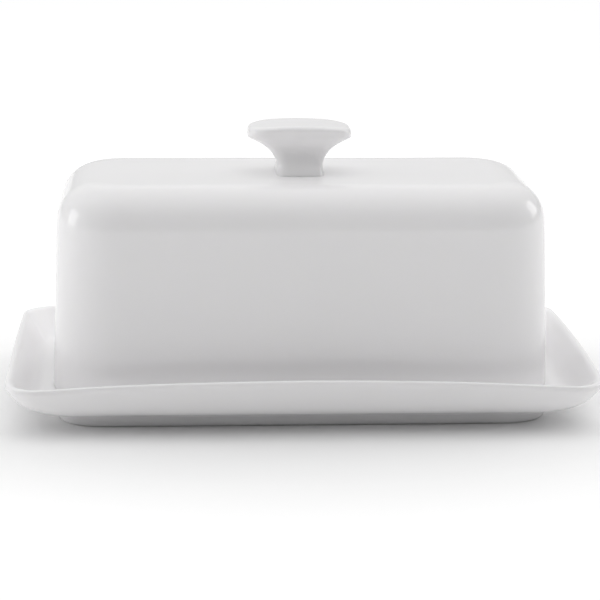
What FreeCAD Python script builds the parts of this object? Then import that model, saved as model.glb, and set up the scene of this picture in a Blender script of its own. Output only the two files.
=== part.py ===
"""Covered butter dish in glazed porcelain: a flared tray, a box lid and the lid's bar knob.

Millimetres. The origin is the bottom centre of the tray's foot, +Z up, +X along the length.
"""
import FreeCAD, Part
import math
import os

import Sketcher

DIMENSIONS = [
    # alias, value (mm, degrees or a plain ratio), what it is
    ("tray_length", 177.2, "over the wall before its lip is cut and rounded, along X"),
    ("tray_width", 110.4, "the same, along Y"),
    ("tray_corner", 11.0, "plan radius of the lip's corners, outside"),
    ("lip_corner_height", 14.4, "lip above the table at the four corners"),
    ("lip_long_rise", 2.8, "how much higher the lip is midway along a long side"),
    ("lip_short_rise", 2.1, "how much higher the lip is midway along a short side"),
    ("lip_waste", 1.2, "extra height of the wall, before its lip is cut to shape"),
    ("lip_thickness", 3.2, "wall at the lip"),
    ("lip_round", 1.4, "rounding of both edges of the lip"),
    ("flare_run", 13.6, "how far the wall flares out past its root"),
    ("flare_angle", 80.0, "slope of the wall's outside at the lip, from level"),
    ("flare_root_corner", 13.0, "plan radius of the wall's root"),
    ("well_length", 154.0, "flat floor inside the tray, along X"),
    ("well_width", 82.0, "flat floor inside the tray, along Y"),
    ("well_corner", 14.0, "plan radius of the flat floor"),
    ("well_angle", 62.0, "slope of the wall's inside at the lip, from level"),
    ("floor_height", 6.8, "top of the floor above the table"),
    ("foot_length", 146.6, "standing face of the foot, along X"),
    ("foot_width", 80.0, "standing face of the foot, along Y"),
    ("foot_corner", 14.5, "plan radius of the foot"),
    ("foot_height", 3.9, "foot above the table"),
    ("foot_splay", 11.0, "outward slope of the foot's side, degrees from upright"),
    ("foot_ring", 5.0, "width of the ring that stands on the table"),
    ("foot_recess", 1.7, "hollow inside that ring"),
    ("foot_round", 0.7, "rounding of the ring's edges"),
    ("lid_length", 150.6, "rim of the lid, along X"),
    ("lid_width", 78.6, "rim of the lid, along Y"),
    ("lid_corner", 23.0, "plan radius of the lid's rim"),
    ("lid_height", 62.8, "lid from rim to flat top, without the knob"),
    ("lid_draft", 2.0, "inward slope of the lid's walls, degrees from upright"),
    ("lid_shoulder", 12.0, "rounding between the walls and the top"),
    ("lid_wall", 4.0, "wall of the lid"),
    ("lid_rim_round", 1.3, "rounding of both edges of the rim"),
    ("knob_length", 31.8, "bar of the knob, along X"),
    ("knob_width", 21.0, "bar of the knob, along Y"),
    ("knob_corner", 8.0, "plan radius of the bar's corners"),
    ("knob_height", 15.2, "knob above the lid"),
    ("knob_edge", 2.6, "upright edge of the bar at its two ends"),
    ("knob_arch", 1.15, "how much the bar's top rises towards the middle"),
    ("knob_round", 1.1, "rounding of the bar's top edge"),
    ("stem_length", 13.8, "stem where it meets the lid, along X"),
    ("stem_width", 14.4, "stem where it meets the lid, along Y"),
    ("stem_corner", 4.0, "plan radius of the stem"),
    ("stem_power", 3.0, "exponent of the stem's flare into the bar"),
]

FLARE_SECTIONS = 7
WELL_SECTIONS = 6
STEM_SECTIONS = 6
# Height of the tray's wall before its lip is cut to shape.
WALL_TOP = "(Dims.lip_corner_height + Dims.lip_long_rise + Dims.lip_waste)"
# How far a cutting shape runs past what it cuts.
OVERRUN = 12.0
# Below 1, the stem's sections stand closer together near the bar, where it widens fast.
STEM_SPACING = 0.7
# Half length, half width and corner of a rectangle as first drawn, before its sizes are driven.
DRAWN_SIZES = (40.0, 25.0, 5.0)
# Points looked at along an edge, and how far one may be from where it is looked for.
EDGE_SAMPLES = 5
ON_FLAT = 0.02
ON_CURVE = 0.1

doc = FreeCAD.newDocument("ButterDish")


def make_sheet():
    """The driving dimensions: one row each, with the value's cell carrying the alias."""
    sheet = doc.addObject("Spreadsheet::Sheet", "Dims")
    for row, (alias, value, note) in enumerate(DIMENSIONS, start=1):
        sheet.set(f"A{row}", alias)
        sheet.set(f"B{row}", str(value))
        sheet.set(f"C{row}", note)
        sheet.setAlias(f"B{row}", alias)
    doc.recompute()
    return sheet


sheet = make_sheet()


def dim(alias):
    return float(sheet.get(alias))


def new_body(label, height_expression):
    """A body that stands at a height on the Z axis."""
    body = doc.addObject("PartDesign::Body", label)
    body.Label = label
    body.setExpression("Placement.Base.z", height_expression)
    return body


def plane(body, role):
    return next(item for item in body.Origin.OriginFeatures if item.Role == role)


def new_sketch(body, name, role, offset="0"):
    """A sketch on one of the body's own origin planes, moved along that plane's normal."""
    sketch = body.newObject("Sketcher::SketchObject", name)
    sketch.AttachmentSupport = [(plane(body, role), "")]
    sketch.MapMode = "FlatFace"
    sketch.setExpression("AttachmentOffset.Base.z", offset)
    return sketch


def rounded_rectangle(sketch, length, width, radius):
    """A centred rectangle with round corners; each size is an expression."""
    half_x, half_y, corner = DRAWN_SIZES
    straight_x, straight_y = half_x - corner, half_y - corner
    vector = FreeCAD.Vector
    normal = vector(0, 0, 1)
    quarter = math.pi / 2
    # The sides run anticlockwise, each followed by the corner it leads into.
    sides = [
        ((-straight_x, -half_y), (straight_x, -half_y), (straight_x, -straight_y)),
        ((half_x, -straight_y), (half_x, straight_y), (straight_x, straight_y)),
        ((straight_x, half_y), (-straight_x, half_y), (-straight_x, straight_y)),
        ((-half_x, straight_y), (-half_x, -straight_y), (-straight_x, -straight_y)),
    ]
    for turn, (start, end, centre) in enumerate(sides):
        sketch.addGeometry(Part.LineSegment(vector(*start), vector(*end)))
        circle = Part.Circle(vector(*centre), normal, corner)
        first = (turn - 1) * quarter
        sketch.addGeometry(Part.ArcOfCircle(circle, first, first + quarter))
    for turn in range(4):
        side, arc, next_side = 2 * turn, 2 * turn + 1, (2 * turn + 2) % 8
        sketch.addConstraint(Sketcher.Constraint("Tangent", side, 2, arc, 1))
        sketch.addConstraint(Sketcher.Constraint("Tangent", arc, 2, next_side, 1))
        if turn:
            sketch.addConstraint(Sketcher.Constraint("Equal", 1, arc))
    for level, upright in ((0, 2), (4, 6)):
        sketch.addConstraint(Sketcher.Constraint("Horizontal", level))
        sketch.addConstraint(Sketcher.Constraint("Vertical", upright))
    sketch.addConstraint(Sketcher.Constraint("Symmetric", 0, 1, 4, 1, -1, 1))
    sizes = [
        ("length", Sketcher.Constraint("DistanceX", 6, 1, 2, 1, 2 * half_x), length),
        ("width", Sketcher.Constraint("DistanceY", 0, 1, 4, 2, 2 * half_y), width),
        ("radius", Sketcher.Constraint("Radius", 1, corner), radius),
    ]
    for name, constraint, expression in sizes:
        index = sketch.addConstraint(constraint)
        sketch.renameConstraint(index, name)
        sketch.setExpression(f"Constraints.{name}", expression)


def loft(body, kind, name, sections):
    """A loft through rounded rectangles: (height, length, width, radius) as expressions."""
    sketches = []
    for number, (height, length, width, radius) in enumerate(sections):
        sketch = new_sketch(body, f"{name}_section_{number}", "XY_Plane", height)
        rounded_rectangle(sketch, length, width, radius)
        sketches.append(sketch)
    feature = body.newObject(kind, name)
    feature.Profile = sketches[0]
    feature.Sections = sketches[1:]
    return feature


def pad(body, name, sketch, length, taper="0"):
    feature = body.newObject("PartDesign::Pad", name)
    feature.Profile = sketch
    feature.setExpression("Length", length)
    feature.setExpression("TaperAngle", taper)
    return feature


def edges_where(shape, test):
    """Names of the edges of which every sampled point passes the test."""
    names = []
    for number, edge in enumerate(shape.Edges, start=1):
        if all(test(point) for point in edge.discretize(EDGE_SAMPLES)):
            names.append(f"Edge{number}")
    return names


def fillet(body, name, base, edges, radius):
    if not edges:
        raise RuntimeError(f"{name}: no edge to round")
    feature = body.newObject("PartDesign::Fillet", name)
    feature.Base = (base, edges)
    feature.setExpression("Radius", radius)
    return feature


def near(value, wanted, slack=ON_FLAT):
    return abs(value - wanted) < slack


# ---- tray --------------------------------------------------------------------------------


def lip_height(point):
    """Height of the lip above the table at a place on it: highest midway along each side."""
    along = 1 - (point.x / (dim("tray_length") / 2)) ** 2
    across = 1 - (point.y / (dim("tray_width") / 2)) ** 2
    return dim("lip_corner_height") + dim("lip_long_rise") * along + dim("lip_short_rise") * across


def flare_sections():
    """Outside of the wall: level at its root, then curling up to the lip."""
    sections = []
    for number in range(FLARE_SECTIONS):
        angle = f"(Dims.flare_angle * {number} / {FLARE_SECTIONS - 1})"
        out = f"(sin({angle}) / sin(Dims.flare_angle))"
        up = f"((1 - cos({angle})) / (1 - cos(Dims.flare_angle)))"
        back = f"2 * Dims.flare_run * (1 - {out})"
        sections.append((
            f"Dims.foot_height + ({WALL_TOP} - Dims.foot_height) * {up}",
            f"Dims.tray_length - {back}",
            f"Dims.tray_width - {back}",
            f"Dims.flare_root_corner + (Dims.tray_corner - Dims.flare_root_corner) * {out}",
        ))
    return sections


def well_sections():
    """Inside of the tray: from the edge of the flat floor up to the inner edge of the lip."""
    lip_length = "(Dims.tray_length - 2 * Dims.lip_thickness)"
    lip_width = "(Dims.tray_width - 2 * Dims.lip_thickness)"
    lip_corner = "(Dims.tray_corner - Dims.lip_thickness / 2)"
    sections = []
    for number in range(WELL_SECTIONS):
        angle = f"(Dims.well_angle * {number} / {WELL_SECTIONS - 1})"
        out = f"(sin({angle}) / sin(Dims.well_angle))"
        up = f"((1 - cos({angle})) / (1 - cos(Dims.well_angle)))"
        sections.append((
            f"Dims.floor_height + ({WALL_TOP} - Dims.floor_height) * {up}",
            f"Dims.well_length + ({lip_length} - Dims.well_length) * {out}",
            f"Dims.well_width + ({lip_width} - Dims.well_width) * {out}",
            f"Dims.well_corner + ({lip_corner} - Dims.well_corner) * {out}",
        ))
    return sections


def arc_through(sketch, reach, low, high):
    """An arc through (-reach, low), (0, high) and (reach, low)."""
    vector = FreeCAD.Vector
    sketch.addGeometry(Part.Arc(vector(-reach, low), vector(0, high), vector(reach, low)))


def region_above_arc(sketch, half_span, high, drop):
    """All that lies above an arc that drops by a given amount at half_span from the middle."""
    vector = FreeCAD.Vector
    reach = half_span + OVERRUN
    low = high - drop * (reach / half_span) ** 2
    top = high + OVERRUN
    arc_through(sketch, reach, low, high)
    corners = [(reach, low), (reach, top), (-reach, top), (-reach, low)]
    for start, end in zip(corners, corners[1:]):
        sketch.addGeometry(Part.LineSegment(vector(*start), vector(*end)))


def make_lip_trim(body):
    """Cut the wall's top to a saddle: one arc, seen from the front, carried along another."""
    half_width = dim("tray_width") / 2
    middle = dim("lip_corner_height") + dim("lip_long_rise")

    profile = new_sketch(body, "lip_profile", "XZ_Plane", "Dims.tray_width / 2")
    region_above_arc(profile, dim("tray_length") / 2, middle, dim("lip_long_rise"))

    path = new_sketch(body, "lip_path", "YZ_Plane")
    arc_through(path, half_width, middle, middle + dim("lip_short_rise"))

    trim = body.newObject("PartDesign::SubtractivePipe", "lip_trim")
    trim.Profile = profile
    trim.Spine = path
    trim.Mode = "Fixed"
    return trim


def make_tray():
    body = new_body("tray", "0")

    foot_outline = new_sketch(body, "foot_outline", "XY_Plane")
    rounded_rectangle(foot_outline, "Dims.foot_length", "Dims.foot_width", "Dims.foot_corner")
    pad(body, "foot", foot_outline, "Dims.foot_height", "Dims.foot_splay")

    loft(body, "PartDesign::AdditiveLoft", "wall", flare_sections())
    loft(body, "PartDesign::SubtractiveLoft", "well", well_sections())
    trim = make_lip_trim(body)
    doc.recompute()

    lip_edges = edges_where(trim.Shape, lambda point: near(point.z, lip_height(point), ON_CURVE))
    lip = fillet(body, "lip_rounding", trim, lip_edges, "Dims.lip_round")

    ring = "2 * Dims.foot_ring"
    hollow = new_sketch(body, "foot_hollow", "XY_Plane")
    rounded_rectangle(hollow, f"Dims.foot_length - {ring}", f"Dims.foot_width - {ring}",
                      "Dims.foot_corner - Dims.foot_ring")
    recess = body.newObject("PartDesign::Pocket", "foot_recess")
    recess.Profile = hollow
    recess.Reversed = True
    recess.setExpression("Length", "Dims.foot_recess")
    doc.recompute()
    if recess.Shape.Volume >= lip.Shape.Volume:
        raise RuntimeError("the recess under the foot cuts nothing")

    standing_edges = edges_where(recess.Shape, lambda point: near(point.z, 0))
    fillet(body, "foot_rounding", recess, standing_edges, "Dims.foot_round")
    return body


# ---- lid ---------------------------------------------------------------------------------


def make_lid():
    body = new_body("lid", "Dims.floor_height")

    rim = new_sketch(body, "lid_rim", "XY_Plane")
    rounded_rectangle(rim, "Dims.lid_length", "Dims.lid_width", "Dims.lid_corner")
    block = pad(body, "lid_block", rim, "Dims.lid_height", "-Dims.lid_draft")
    doc.recompute()

    top_edges = edges_where(block.Shape, lambda point: near(point.z, dim("lid_height")))
    dome = fillet(body, "lid_shoulder", block, top_edges, "Dims.lid_shoulder")
    doc.recompute()

    walls = "2 * Dims.lid_wall / cos(Dims.lid_draft)"
    inside = new_sketch(body, "lid_inside", "XY_Plane")
    rounded_rectangle(inside, f"Dims.lid_length - {walls}", f"Dims.lid_width - {walls}",
                      "Dims.lid_corner - Dims.lid_wall")
    cavity = body.newObject("PartDesign::Pocket", "lid_cavity")
    cavity.Profile = inside
    cavity.Reversed = True
    cavity.setExpression("Length", "Dims.lid_height - Dims.lid_wall")
    cavity.setExpression("TaperAngle", "-Dims.lid_draft")
    doc.recompute()
    if cavity.Shape.Volume >= dome.Shape.Volume:
        raise RuntimeError("the lid is not hollow")

    ceiling = dim("lid_height") - dim("lid_wall")
    ceiling_edges = edges_where(cavity.Shape, lambda point: near(point.z, ceiling))
    shell = fillet(body, "inside_shoulder", cavity, ceiling_edges, "Dims.lid_shoulder - Dims.lid_wall")
    doc.recompute()

    rim_edges = edges_where(shell.Shape, lambda point: near(point.z, 0))
    fillet(body, "rim_rounding", shell, rim_edges, "Dims.lid_rim_round")
    return body


# ---- knob --------------------------------------------------------------------------------


def stem_sections():
    """The stem widens upwards into the bar, slowly at first and then fast."""
    flare_height = "(Dims.knob_height - Dims.knob_arch - Dims.knob_edge)"
    sections = []
    for number in range(STEM_SECTIONS):
        share = f"({number} / {STEM_SECTIONS - 1}) ^ {STEM_SPACING}"
        wide = f"(({share}) ^ Dims.stem_power)"
        sections.append((
            f"{flare_height} * ({share})",
            f"Dims.stem_length + (Dims.knob_length - Dims.stem_length) * {wide}",
            f"Dims.stem_width + (Dims.knob_width - Dims.stem_width) * {wide}",
            f"Dims.stem_corner + (Dims.knob_corner - Dims.stem_corner) * {wide}",
        ))
    return sections


def make_knob():
    body = new_body("lid_knob", "Dims.floor_height + Dims.lid_height")
    loft(body, "PartDesign::AdditiveLoft", "stem", stem_sections())

    bar_base = "Dims.knob_height - Dims.knob_arch - Dims.knob_edge"
    outline = new_sketch(body, "bar_outline", "XY_Plane", bar_base)
    rounded_rectangle(outline, "Dims.knob_length", "Dims.knob_width", "Dims.knob_corner")
    bar = pad(body, "bar", outline, "Dims.knob_edge + Dims.knob_arch")
    doc.recompute()

    half_length = dim("knob_length") / 2
    crown = dim("knob_height")
    arch = new_sketch(body, "bar_arch", "XZ_Plane")
    region_above_arc(arch, half_length, crown, dim("knob_arch"))
    cut = body.newObject("PartDesign::Pocket", "arched_top")
    cut.Profile = arch
    cut.Midplane = True
    cut.setExpression("Length", "2 * Dims.knob_width")
    doc.recompute()
    if cut.Shape.Volume >= bar.Shape.Volume:
        raise RuntimeError("the arch of the knob cuts nothing")

    def on_arch(point):
        return near(point.z, crown - dim("knob_arch") * (point.x / half_length) ** 2, ON_CURVE)

    fillet(body, "bar_rounding", cut, edges_where(cut.Shape, on_arch), "Dims.knob_round")
    return body


# ---- write -------------------------------------------------------------------------------

parts = [make_tray(), make_lid(), make_knob()]
doc.recompute()

for item in doc.Objects:
    if "Invalid" in item.State or "Error" in item.State:
        raise RuntimeError(f"{item.Label}: {item.State}")

os.makedirs("parts", exist_ok=True)
for body in parts:
    shape = body.Shape
    if shape.isNull() or not shape.isValid() or len(shape.Solids) != 1:
        raise RuntimeError(f"{body.Label}: not one valid solid")
    shape.exportStep(f"parts/{body.Label}.step")
    box = shape.optimalBoundingBox()
    size = " x ".join(f"{extent:.1f}" for extent in (box.XLength, box.YLength, box.ZLength))
    print(f"{body.Label}: {size} mm, {shape.Volume / 1000:.1f} cm3, from z = {box.ZMin:.2f}")
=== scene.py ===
import math

import bpy
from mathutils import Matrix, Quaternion, Vector, noise


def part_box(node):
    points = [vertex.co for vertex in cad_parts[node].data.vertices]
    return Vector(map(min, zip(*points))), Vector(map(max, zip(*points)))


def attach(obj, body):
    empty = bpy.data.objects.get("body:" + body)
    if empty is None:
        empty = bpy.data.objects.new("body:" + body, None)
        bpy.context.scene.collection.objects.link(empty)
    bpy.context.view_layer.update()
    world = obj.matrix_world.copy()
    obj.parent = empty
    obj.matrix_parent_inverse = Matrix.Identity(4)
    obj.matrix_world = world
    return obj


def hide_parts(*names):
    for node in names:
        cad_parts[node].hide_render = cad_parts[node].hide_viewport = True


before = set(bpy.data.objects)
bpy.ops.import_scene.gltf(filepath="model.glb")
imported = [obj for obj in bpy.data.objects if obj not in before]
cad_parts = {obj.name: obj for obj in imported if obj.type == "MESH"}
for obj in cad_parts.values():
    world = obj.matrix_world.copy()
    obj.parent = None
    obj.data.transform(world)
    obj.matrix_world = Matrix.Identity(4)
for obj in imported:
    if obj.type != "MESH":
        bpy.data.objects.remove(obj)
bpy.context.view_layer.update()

MM = 0.001

# ---- sizes: millimetres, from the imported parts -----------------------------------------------

# The tray and lid stop this far inside the CAD's sides and the lid's top, so that their
# unevenness never leaves the CAD box.
SKIN = 0.15


def box_mm(node):
    """A node's lowest and highest corners at rest."""
    low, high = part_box(node)
    return low / MM, high / MM


tray_low, tray_high = box_mm("tray")
lid_low, lid_high = box_mm("lid")
knob_low, knob_high = box_mm("lid_knob")


# ---- mesh tools ------------------------------------------------------------------------------

# Mesh steps along half of a long side, half of a short side, a corner, and one spline span.
LONG_HALF_STEPS = 20
SHORT_HALF_STEPS = 12
CORNER_STEPS = 18
SPAN_STEPS = 5
# Above 2, a corner eases into the straight sides instead of starting as a plain arc.
CORNER_EXPONENT = 2.2


def eased_arc(angle, exponent):
    """A point on a quarter round of radius 1, which is a plain arc at an exponent of 2."""
    ease = 2 / exponent
    return max(0.0, math.cos(angle)) ** ease, math.sin(angle) ** ease


def outline(half_x, half_y, corner):
    """A rounded rectangle. Points i and -1 - i mirror each other across the X axis."""
    corner = min(corner, half_x, half_y)
    straight_x, straight_y = half_x - corner, half_y - corner
    quarter = []
    for step in range(SHORT_HALF_STEPS):
        quarter.append((half_x, straight_y * (step + 0.5) / SHORT_HALF_STEPS))
    for step in range(CORNER_STEPS + 1):
        across, along = eased_arc(math.pi / 2 * step / CORNER_STEPS, CORNER_EXPONENT)
        quarter.append((straight_x + corner * across, straight_y + corner * along))
    for step in range(1, LONG_HALF_STEPS):
        quarter.append((straight_x * (1 - step / LONG_HALF_STEPS), half_y))
    upper = quarter + [(0.0, half_y)] + [(-x, y) for x, y in reversed(quarter)]
    return upper + [(x, -y) for x, y in reversed(upper)]


def spline(controls):
    """A cubic B-spline from the first control to the last one."""
    padded = [controls[0]] * 2 + list(controls) + [controls[-1]] * 2
    points = []
    for span in range(len(padded) - 3):
        for step in range(SPAN_STEPS):
            t = step / SPAN_STEPS
            weights = (
                (1 - t) ** 3,
                3 * t ** 3 - 6 * t ** 2 + 4,
                -3 * t ** 3 + 3 * t ** 2 + 3 * t + 1,
                t ** 3,
            )
            values = zip(*padded[span:span + 4])
            points.append(tuple(sum(w * v for w, v in zip(weights, four)) / 6 for four in values))
    points.append(tuple(controls[-1]))
    return points


# Millimetres: how long and how high the waves are, and how far above a level they fade in.
WAVE_LENGTH = 34.0
WAVE_HEIGHT = 0.14
WAVE_FADE = 8.0
# Without a seed, the noise starts from the clock and differs from run to run.
WAVE_SEED = 3
noise.seed_set(WAVE_SEED)


def uneven(point, level):
    """The slight unevenness of cast and glazed clay. Nothing rises or falls near the level."""
    drift = noise.noise_vector(point / WAVE_LENGTH) * WAVE_HEIGHT
    drift.z *= min(1.0, max(0.0, (point.z - level) / WAVE_FADE))
    return point + drift


def mesh_object(name, verts, faces, material):
    mesh = bpy.data.meshes.new(name)
    mesh.from_pydata(verts, [], faces)
    mesh.materials.append(material)
    made = bpy.data.objects.new(name, mesh)
    bpy.context.scene.collection.objects.link(made)
    return made


def shell(name, rings, shape, material):
    """A closed quad mesh through rings of (half_x, half_y, corner, z), in millimetres.

    shape(point, u, v) gives a raw point its final place; u and v run from -1 to 1 across the
    ring. Each end ring is closed by a flat strip.
    """
    verts = []
    for half_x, half_y, corner, z in rings:
        for x, y in outline(half_x, half_y, corner):
            verts.append(shape(Vector((x, y, z)), x / half_x, y / half_y) * MM)
    count = len(verts) // len(rings)
    faces = []
    for row in range(len(rings) - 1):
        near, far = row * count, (row + 1) * count
        for i in range(count):
            j = (i + 1) % count
            faces.append((near + i, near + j, far + j, far + i))
    last = (len(rings) - 1) * count
    for i in range(count // 2 - 1):
        mirror = count - 1 - i
        faces.append((mirror, mirror - 1, i + 1, i))
        faces.append((last + i, last + i + 1, last + mirror - 1, last + mirror))
    piece = mesh_object(name, verts, faces, material)
    piece.data.shade_smooth()
    return piece


# ---- materials -------------------------------------------------------------------------------


class Nodes:
    """A short way to add shader nodes and link them."""

    def __init__(self, tree):
        self.tree = tree
        tree.nodes.clear()

    def add(self, kind, inputs=None, **properties):
        """A new node. Each input is a number or colour, or another node's output to link."""
        node = self.tree.nodes.new("ShaderNode" + kind)
        for key, value in properties.items():
            setattr(node, key, value)
        for key, value in (inputs or {}).items():
            if isinstance(value, bpy.types.NodeSocket):
                self.tree.links.new(value, node.inputs[key])
            else:
                node.inputs[key].default_value = value
        return node

    def ramp(self, value, start, end, low, high):
        """Smoothly from low to high while the value goes from start to end."""
        return self.add("MapRange", {
            "Value": value,
            "From Min": start,
            "From Max": end,
            "To Min": low,
            "To Max": high,
        }, interpolation_type="SMOOTHSTEP").outputs[0]

    def noise(self, place, scale, detail=2.0):
        return self.add("TexNoise", {"Vector": place, "Scale": scale, "Detail": detail}).outputs[0]

    def bump(self, height, distance, **inputs):
        sockets = {"Height": height, "Distance": distance * MM, **inputs}
        return self.add("Bump", sockets).outputs[0]

    def mix_colours(self, factor, first, second):
        """A Mix node has its two colours at inputs 6 and 7, and their mix at output 2."""
        sockets = {0: factor, 6: first, 7: second}
        return self.add("Mix", sockets, data_type="RGBA").outputs[2]

    def mix_numbers(self, factor, first, second):
        """A Mix node has its two numbers at inputs 2 and 3, and their mix at output 0."""
        return self.add("Mix", {0: factor, 2: first, 3: second}).outputs[0]


GLAZE = (0.920, 0.911, 0.918, 1)
THICK_GLAZE = (0.886, 0.884, 0.890, 1)
BISCUIT = (0.800, 0.785, 0.750, 1)

# How much of the thick glaze's colour shows in its clouds, and where it has pooled.
CLOUD_SHARE = 0.15
POOL_SHARE = 0.3

# The noise values between which clouds and sheen come in, and the roughness that goes with the
# sheen's two ends.
CLOUD_RANGE = (0.35, 0.75)
SHEEN_RANGE = (0.3, 0.7)
SHEEN_ROUGHNESS = (0.32, 0.4)
BISCUIT_ROUGHNESS = 0.8
# A heavier coat mirrors the white floor so strongly at a flat angle that the lid's edges melt
# into it.
COAT_WEIGHT = 0.68

# Noise scales, per metre.
CLOUD_SCALE = 30
CLOUD_DETAIL = 3
SHEEN_SCALE = 70
RIPPLE_SCALE = 110
RAGGED_SCALE = 500
PEEL_SCALE = 750
GRAIN_SCALE = 4000

# Heights, in millimetres.
POOL_HEIGHT = 3
BARE_FADE = (0.2, 0.5)
RAGGED_HEIGHT = 0.5
RIPPLE_HEIGHT = 0.012
PEEL_HEIGHT = 0.0015
GRAIN_HEIGHT = 0.03


def porcelain(name, bare_below, pool_from):
    """Clear gloss glaze over white porcelain.

    Heights are in millimetres. Below bare_below, the clay stood in the kiln without glaze, and
    just above pool_from, the glaze has run together.
    """
    material = bpy.data.materials.new(name)
    material.use_nodes = True
    nodes = Nodes(material.node_tree)
    place = nodes.add("TexCoord").outputs["Object"]
    height = nodes.add("SeparateXYZ", {0: place}).outputs[2]

    cloud = nodes.ramp(nodes.noise(place, CLOUD_SCALE, CLOUD_DETAIL), *CLOUD_RANGE,
                       0.0, CLOUD_SHARE)
    pool = nodes.ramp(height, pool_from * MM, (pool_from + POOL_HEIGHT) * MM, POOL_SHARE, 0.0)
    thick = nodes.add("Math", {0: cloud, 1: pool}, operation="MAXIMUM").outputs[0]
    ragged = nodes.add("Math", {
        0: nodes.noise(place, RAGGED_SCALE),
        1: RAGGED_HEIGHT * MM,
        2: height,
    }, operation="MULTIPLY_ADD").outputs[0]
    bare_from, bare_to = ((bare_below + above) * MM for above in BARE_FADE)
    bare = nodes.ramp(ragged, bare_from, bare_to, 1.0, 0.0)
    glaze = nodes.mix_colours(thick, GLAZE, THICK_GLAZE)
    colour = nodes.mix_colours(bare, glaze, BISCUIT)

    # The clay under the glaze shines softly, and the glaze over it like glass.
    sheen = nodes.ramp(nodes.noise(place, SHEEN_SCALE), *SHEEN_RANGE, *SHEEN_ROUGHNESS)
    rough = nodes.mix_numbers(bare, sheen, BISCUIT_ROUGHNESS)
    coat = nodes.ramp(bare, 0.0, 1.0, COAT_WEIGHT, 0.0)

    ripple = nodes.bump(nodes.noise(place, RIPPLE_SCALE), RIPPLE_HEIGHT)
    peel = nodes.bump(nodes.noise(place, PEEL_SCALE), PEEL_HEIGHT, Normal=ripple)
    grain = nodes.bump(nodes.noise(place, GRAIN_SCALE), GRAIN_HEIGHT, Strength=bare, Normal=peel)

    shader = nodes.add("BsdfPrincipled", {
        "Base Color": colour,
        "Roughness": rough,
        "Normal": grain,
        "IOR": 1.5,
        "Specular IOR Level": 0.15,
        "Subsurface Weight": 0.12,
        "Subsurface Radius": (2 * MM, 2 * MM, 1.8 * MM),
        "Subsurface Scale": 1.0,
        "Coat Weight": coat,
        "Coat Roughness": 0.03,
        "Coat IOR": 1.54,
        "Coat Normal": peel,
    })
    nodes.add("OutputMaterial", {"Surface": shader.outputs[0]})
    return material


# ---- tray ------------------------------------------------------------------------------------

FOOT_HEIGHT = 3.9
FLOOR_TOP = lid_low.z

# The lip's top at the tray's corners, and how much higher it is midway along the sides.
LIP_CORNER_HEIGHT = 14.3
LIP_LONG_RISE = 2.8
LIP_SHORT_RISE = 2.1
RISE_POWER = 1.5
LIP_THICKNESS = 3.0

# The flare curls out from the foot's top to the lip.
FLARE_RUN = 13.8
FLARE_ANGLE = math.radians(80)
FLARE_DEGREES = (12, 24, 36, 48, 60, 70)

# The well curls down from the lip to the flat floor.
WELL_INSET = 10.9
WELL_ANGLE = math.radians(62)
WELL_DEGREES = (48, 36, 24, 12, 0)
# The flat floor is this much narrower at the long sides than an even border would leave it.
WELL_EXTRA_Y = 2.8
# The floor is quite flat from this far inside the well's foot.
WELL_BORDER = 2.0

# Corner radii: the lip outside and inside, the flare's root, and the flat floor.
LIP_CORNER = 11.0
INNER_CORNER = 10.5
ROOT_CORNER = 13.0
WELL_CORNER = 15.0

# Control rings of (inset, corner, z), from the middle of the recess under the tray, over the
# flat ring that it stands on, to the top of the foot.
TRAY_BASE = [
    (50, 2, 1.7),
    (34, 6, 1.7),
    (22, 9, 1.7),
    (20.1, 9.4, 1.6),
    (19.7, 9.5, 0.9),
    (19.3, 9.6, 0.1),
    (18.3, 10, 0),
    (16.6, 12, 0),
    (15, 13.6, 0),
    (14.4, 14, 0.15),
    (14.2, 14.2, 1),
    (13.9, 14.5, 3),
    (13.7, 14, 3.8),
    (12.8, 12.5, 3.95),
]

# Control rings over the lip, from outside to inside: inset, corner, and the height above
# LIP_CORNER_HEIGHT.
TRAY_LIP = [
    (0, LIP_CORNER, -1.3),
    (0, LIP_CORNER, -0.5),
    (0.1, LIP_CORNER, -0.1),
    (0.5, 10.9, 0.15),
    (1.2, 10.7, 0.15),
    (2.1, 10.4, -0.3),
    (2.9, 10.4, -1.2),
]

# Control rings across the flat floor, towards its middle: inset and corner.
TRAY_FLOOR = [(24, 11), (38, 6), (50, 2)]


def tray_ring(inset, corner, z, extra_y=0.0):
    """A control ring a given distance inside the lip's outline."""
    return (tray_high.x - SKIN - inset, tray_high.y - SKIN - inset - extra_y, corner, z)


def curl(angle, full_angle):
    """How far out and how far up a curling wall has come, both from 0 to 1."""
    out = math.sin(angle) / math.sin(full_angle)
    up = (1 - math.cos(angle)) / (1 - math.cos(full_angle))
    return out, up


def tray_rings():
    """From the middle of the underside, out round the foot and lip, and in over the floor."""
    controls = [tray_ring(*ring) for ring in TRAY_BASE]
    for degrees in FLARE_DEGREES:
        out, up = curl(math.radians(degrees), FLARE_ANGLE)
        corner = ROOT_CORNER + (LIP_CORNER - ROOT_CORNER) * out
        rise = (LIP_CORNER_HEIGHT - FOOT_HEIGHT) * up
        controls.append(tray_ring(FLARE_RUN * (1 - out), corner, FOOT_HEIGHT + rise))
    for inset, corner, above in TRAY_LIP:
        controls.append(tray_ring(inset, corner, LIP_CORNER_HEIGHT + above))
    for degrees in WELL_DEGREES:
        out, up = curl(math.radians(degrees), WELL_ANGLE)
        inset = WELL_INSET - (WELL_INSET - LIP_THICKNESS) * out
        corner = WELL_CORNER + (INNER_CORNER - WELL_CORNER) * out
        rise = (LIP_CORNER_HEIGHT - FLOOR_TOP) * up
        controls.append(tray_ring(inset, corner, FLOOR_TOP + rise, WELL_EXTRA_Y * (1 - out)))
    controls.append(tray_ring(WELL_INSET + WELL_BORDER, WELL_CORNER, FLOOR_TOP, WELL_EXTRA_Y))
    for inset, corner in TRAY_FLOOR:
        controls.append(tray_ring(inset, corner, FLOOR_TOP))
    return spline(controls)


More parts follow.
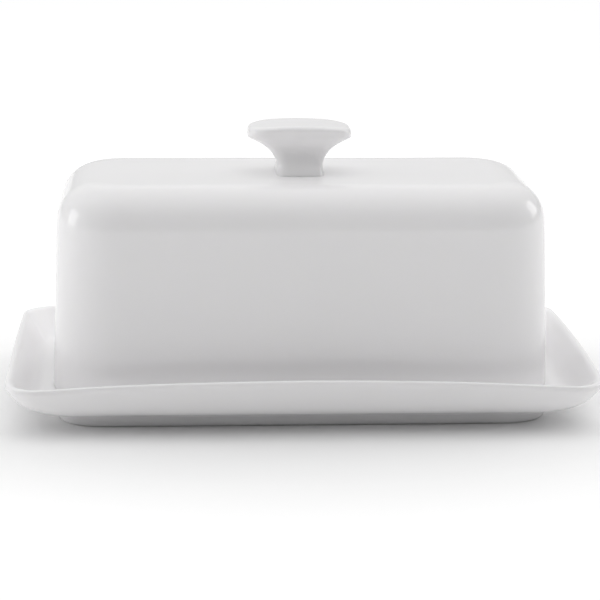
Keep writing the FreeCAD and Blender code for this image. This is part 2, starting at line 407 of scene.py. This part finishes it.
def tray_shape(point, u, v):
    """The lip is highest midway along each side, and the wall below it follows."""
    share = max(0.0, (point.z - FLOOR_TOP) / (LIP_CORNER_HEIGHT - FLOOR_TOP))
    rise = LIP_LONG_RISE * (1 - u * u) + LIP_SHORT_RISE * (1 - v * v)
    return uneven(point + Vector((0, 0, rise * share ** RISE_POWER)), FLOOR_TOP)


# ---- lid -------------------------------------------------------------------------------------

LID_CORNER = 23.0
LEAST_CORNER = 2.0
LID_WALL = 4.0
LID_SHOULDER = 13.4
LID_DRAFT = math.tan(math.radians(2))
# Above 2, the shoulder eases into the top and the walls.
SHOULDER_EXPONENT = 2.3
SHOULDER_STEPS = 9

# Where the other control rings are: insets across the flat top and ceiling, shares of the
# wall's height, and, round the rim's edges, the inset from the wall's face and the height.
TOP_INSETS = (37, 26, 17)
WALL_SHARES = (0.75, 0.5, 0.25, 0.08)
RIM_EDGE = [(0, 1.2), (0.3, 0.15), (1.3, 0)]


def lid_ring(inset, z):
    """A control ring that is everywhere the same distance inside the rim's outline."""
    corner = max(LEAST_CORNER, LID_CORNER - inset)
    return (lid_high.x - SKIN - inset, lid_high.y - SKIN - inset, corner, z)


def shoulder(inset, top, radius):
    """Controls round the shoulder, from the flat top to the wall, whose face is at inset."""
    rings = []
    for step in range(SHOULDER_STEPS + 1):
        angle = math.pi / 2 * (1 - step / SHOULDER_STEPS)
        out, up = eased_arc(angle, SHOULDER_EXPONENT)
        rings.append(lid_ring(inset + radius * (1 - out), top - radius * (1 - up)))
    return rings


def lid_rings():
    """From the middle of the ceiling, down inside, round the rim, and up to the top's middle."""
    bottom = lid_low.z
    top = lid_high.z - SKIN
    ceiling = top - LID_WALL
    wall_height = top - LID_SHOULDER - bottom
    lean = wall_height * LID_DRAFT
    outer = [lid_ring(inset, top) for inset in TOP_INSETS]
    outer += shoulder(lean, top, LID_SHOULDER)
    inner = [lid_ring(inset, ceiling) for inset in TOP_INSETS]
    inner += shoulder(lean + LID_WALL, ceiling, LID_SHOULDER - LID_WALL)
    for share in WALL_SHARES:
        z = bottom + wall_height * share
        outer.append(lid_ring(lean * share, z))
        inner.append(lid_ring(lean * share + LID_WALL, z))
    for inset, above in RIM_EDGE:
        outer.append(lid_ring(inset, bottom + above))
        inner.append(lid_ring(LID_WALL - inset, bottom + above))
    return spline(inner + outer[::-1])


def lid_shape(point, u, v):
    return uneven(point, lid_low.z)


# ---- knob ------------------------------------------------------------------------------------

# The arch is this high over the bar's length, and fades out this far below the bar's top.
KNOB_ARCH = 1.15
KNOB_ARCH_DEPTH = 5.0
KNOB_HALF_LENGTH = 15.8
# Control rings: how far above the lid's top, then half the length, half the depth and the
# corner. The first rows are the hidden underside and the toe that joins the stem to the lid.
KNOB_FORM = [
    (-0.8, 3.0, 3.5, 1.5),
    (-0.8, 6.2, 8.2, 3.4),
    (-0.4, 7.1, 9.8, 4.0),
    (0.1, 7.3, 10.0, 4.2),
    (0.6, 7.1, 9.7, 4.2),
    (1.4, 6.95, 9.2, 4.0),
    (2.4, 6.85, 8.6, 4.0),
    (3.6, 7.0, 8.0, 4.0),
    (5.0, 7.6, 7.5, 4.0),
    (6.5, 8.5, 7.2, 4.2),
    (7.8, 9.8, 7.3, 4.6),
    (9.0, 11.5, 7.8, 5.2),
    (9.9, 13.2, 8.4, 6.0),
    (10.6, 14.6, 8.9, 6.6),
    (11.2, 15.6, 9.3, 7.0),
    (11.9, 15.85, 9.6, 7.3),
    (12.7, 15.8, 9.9, 7.6),
    (13.5, 15.75, 10.2, 7.8),
    (14.2, 15.6, 10.2, 7.8),
    (14.8, 15.2, 9.8, 7.4),
    (15.15, 14.5, 9.0, 6.8),
    (15.2, 13.2, 7.8, 6.0),
    (15.2, 10.6, 5.2, 4.0),
    (15.2, 6.8, 1.4, 1.2),
]


def knob_rings():
    """From the hidden underside, up the stem and round the bar, to the middle of its top."""
    foot = knob_low.z - SKIN
    controls = []
    for above, half_x, half_y, corner in KNOB_FORM:
        controls.append((half_x, half_y, corner, foot + above))
    return spline(controls)


def knob_shape(point, u, v):
    """The bar's top is arched, and its underside only a little."""
    share = min(1.0, max(0.0, 1 - (knob_high.z - point.z) / KNOB_ARCH_DEPTH))
    sag = KNOB_ARCH * (point.x / KNOB_HALF_LENGTH) ** 2 * share
    return uneven(point - Vector((0, 0, sag)), lid_low.z)


# ---- the pieces ------------------------------------------------------------------------------

PIECES = [
    # piece, node, body, slot, rings, shape, bare below, glaze pooled from
    ("tray_glazed", "tray", "tray", "tray_porcelain", tray_rings, tray_shape, 0.0, FLOOR_TOP),
    ("lid_glazed", "lid", "lid", "lid_porcelain", lid_rings, lid_shape, lid_low.z, lid_low.z),
    ("knob_glazed", "lid_knob", "lid", "knob_porcelain", knob_rings, knob_shape, 0.0, knob_low.z),
]

for name, node, body, slot, rings, shape, bare_below, pool_from in PIECES:
    glaze = porcelain(slot, bare_below, pool_from)
    piece = shell(name, rings(), shape, glaze)
    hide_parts(node)
    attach(piece, body)


# ---- studio: metres and degrees --------------------------------------------------------------

WHITE = (1, 1, 1, 1)

FLOOR_HALF = 8.0
FLOOR_WHITE = (0.9, 0.9, 0.9, 1)
# In millimetres: the floor lies this far under the foot, so that the two never share a plane.
FLOOR_GAP = 0.05
# The floor's glow, and the distances from the middle between which it comes in. Along the
# dish's length, distance counts for a little less.
FLOOR_GLOW = 0.2
GLOW_START = 0.05
GLOW_FULL = 0.15
GLOW_STRETCH = (0.8, 1.0, 1.0)

PANELS = [
    # azimuth, elevation, how far its glow reaches, power
    (-95, 20, 55, 0.52),
    (-140, 20, 55, 0.3),
    (180, 16, 50, 0.46),
    (140, 20, 55, 0.32),
    (95, 20, 55, 0.14),
    (0, 30, 55, 0.13),
    (0, 65, 55, 0.3),
    (90, 62, 55, 0.4),
    (-90, 62, 55, 0.06),
    (180, 60, 55, 0.27),
    (0, 90, 55, 0.77),
]

SOFTBOXES = [
    # name, azimuth, elevation, size, power
    ("softbox_left", -98, 11, 0.4, 1.4),
    ("softbox_right", 110, 18, 0.38, 1.05),
]
SOFTBOX_DISTANCE = 1.0
SOFTBOX_AIM = Vector((0, 0, 0.05))

CAMERA_AZIMUTH = -3.5
CAMERA_ELEVATION = 12.92
CAMERA_ROLL = 0.47
CAMERA_DISTANCE = 0.699
CAMERA_AIM = Vector((0.0007, 0, 0.0289))


def heading(azimuth, elevation):
    """The way to a light or the camera: 0 is the front, 90 the right, 180 the back."""
    turn, lift = math.radians(azimuth), math.radians(elevation)
    return Vector((math.sin(turn) * math.cos(lift),
                   -math.cos(turn) * math.cos(lift),
                   math.sin(lift)))


def make_floor():
    """A wide white table top. Away from the dish it glows enough to read as plain white."""
    height = (tray_low.z - FLOOR_GAP) * MM
    corners = [(x * FLOOR_HALF, y * FLOOR_HALF, height)
               for x, y in ((-1, -1), (1, -1), (1, 1), (-1, 1))]
    material = bpy.data.materials.new("floor_white")
    material.use_nodes = True
    nodes = Nodes(material.node_tree)
    place = nodes.add("TexCoord").outputs["Object"]
    spread = nodes.add("VectorMath", {0: place, 1: GLOW_STRETCH}, operation="MULTIPLY").outputs[0]
    distance = nodes.add("VectorMath", {0: spread}, operation="LENGTH").outputs["Value"]
    shader = nodes.add("BsdfPrincipled", {
        "Base Color": FLOOR_WHITE,
        "Roughness": 0.9,
        "Specular IOR Level": 0.0,
        "Emission Color": WHITE,
        "Emission Strength": nodes.ramp(distance, GLOW_START, GLOW_FULL, 0.0, FLOOR_GLOW),
    })
    nodes.add("OutputMaterial", {"Surface": shader.outputs[0]})
    floor = mesh_object("floor", corners, [(0, 1, 2, 3)], material)


def make_world():
    """A soft white room: large panels of light round a dim front."""
    world = bpy.data.worlds.new("studio")
    bpy.context.scene.world = world
    world.use_nodes = True
    nodes = Nodes(world.node_tree)
    direction = nodes.add("TexCoord").outputs["Generated"]
    total = 0.0
    for azimuth, elevation, reach, power in PANELS:
        near = nodes.add("VectorMath", {0: direction, 1: heading(azimuth, elevation)},
                         operation="DOT_PRODUCT").outputs["Value"]
        glow = nodes.ramp(near, math.cos(math.radians(reach)), 1.0, 0.0, power)
        total = nodes.add("Math", {0: glow, 1: total}, operation="ADD").outputs[0]
    backdrop = nodes.add("Background", {"Color": WHITE, "Strength": total})
    nodes.add("OutputWorld", {"Surface": backdrop.outputs[0]})


def look_from(name, data, aim, way, distance, roll=0.0):
    """A light or camera at a distance from its aim, facing it."""
    made = bpy.data.objects.new(name, data)
    made.location = aim + way * distance
    made.rotation_mode = "QUATERNION"
    made.rotation_quaternion = way.to_track_quat("Z", "Y") @ Quaternion((0, 0, 1), roll)
    bpy.context.scene.collection.objects.link(made)
    return made


def make_softboxes():
    for name, azimuth, elevation, size, power in SOFTBOXES:
        light = bpy.data.lights.new(name, "AREA")
        light.shape = "SQUARE"
        light.size = size
        light.energy = power
        look_from(name, light, SOFTBOX_AIM, heading(azimuth, elevation), SOFTBOX_DISTANCE)


def make_camera():
    """A long lens, a little above the dish and a little to its left."""
    data = bpy.data.cameras.new("camera")
    data.lens = 135
    data.sensor_width = 36
    data.clip_start = 0.05
    way = heading(CAMERA_AZIMUTH, CAMERA_ELEVATION)
    roll = math.radians(CAMERA_ROLL)
    camera = look_from("camera", data, CAMERA_AIM, way, CAMERA_DISTANCE, roll)
    bpy.context.scene.camera = camera


make_floor()
make_world()
make_softboxes()
make_camera()
bpy.context.scene.view_settings.view_transform = "Standard"
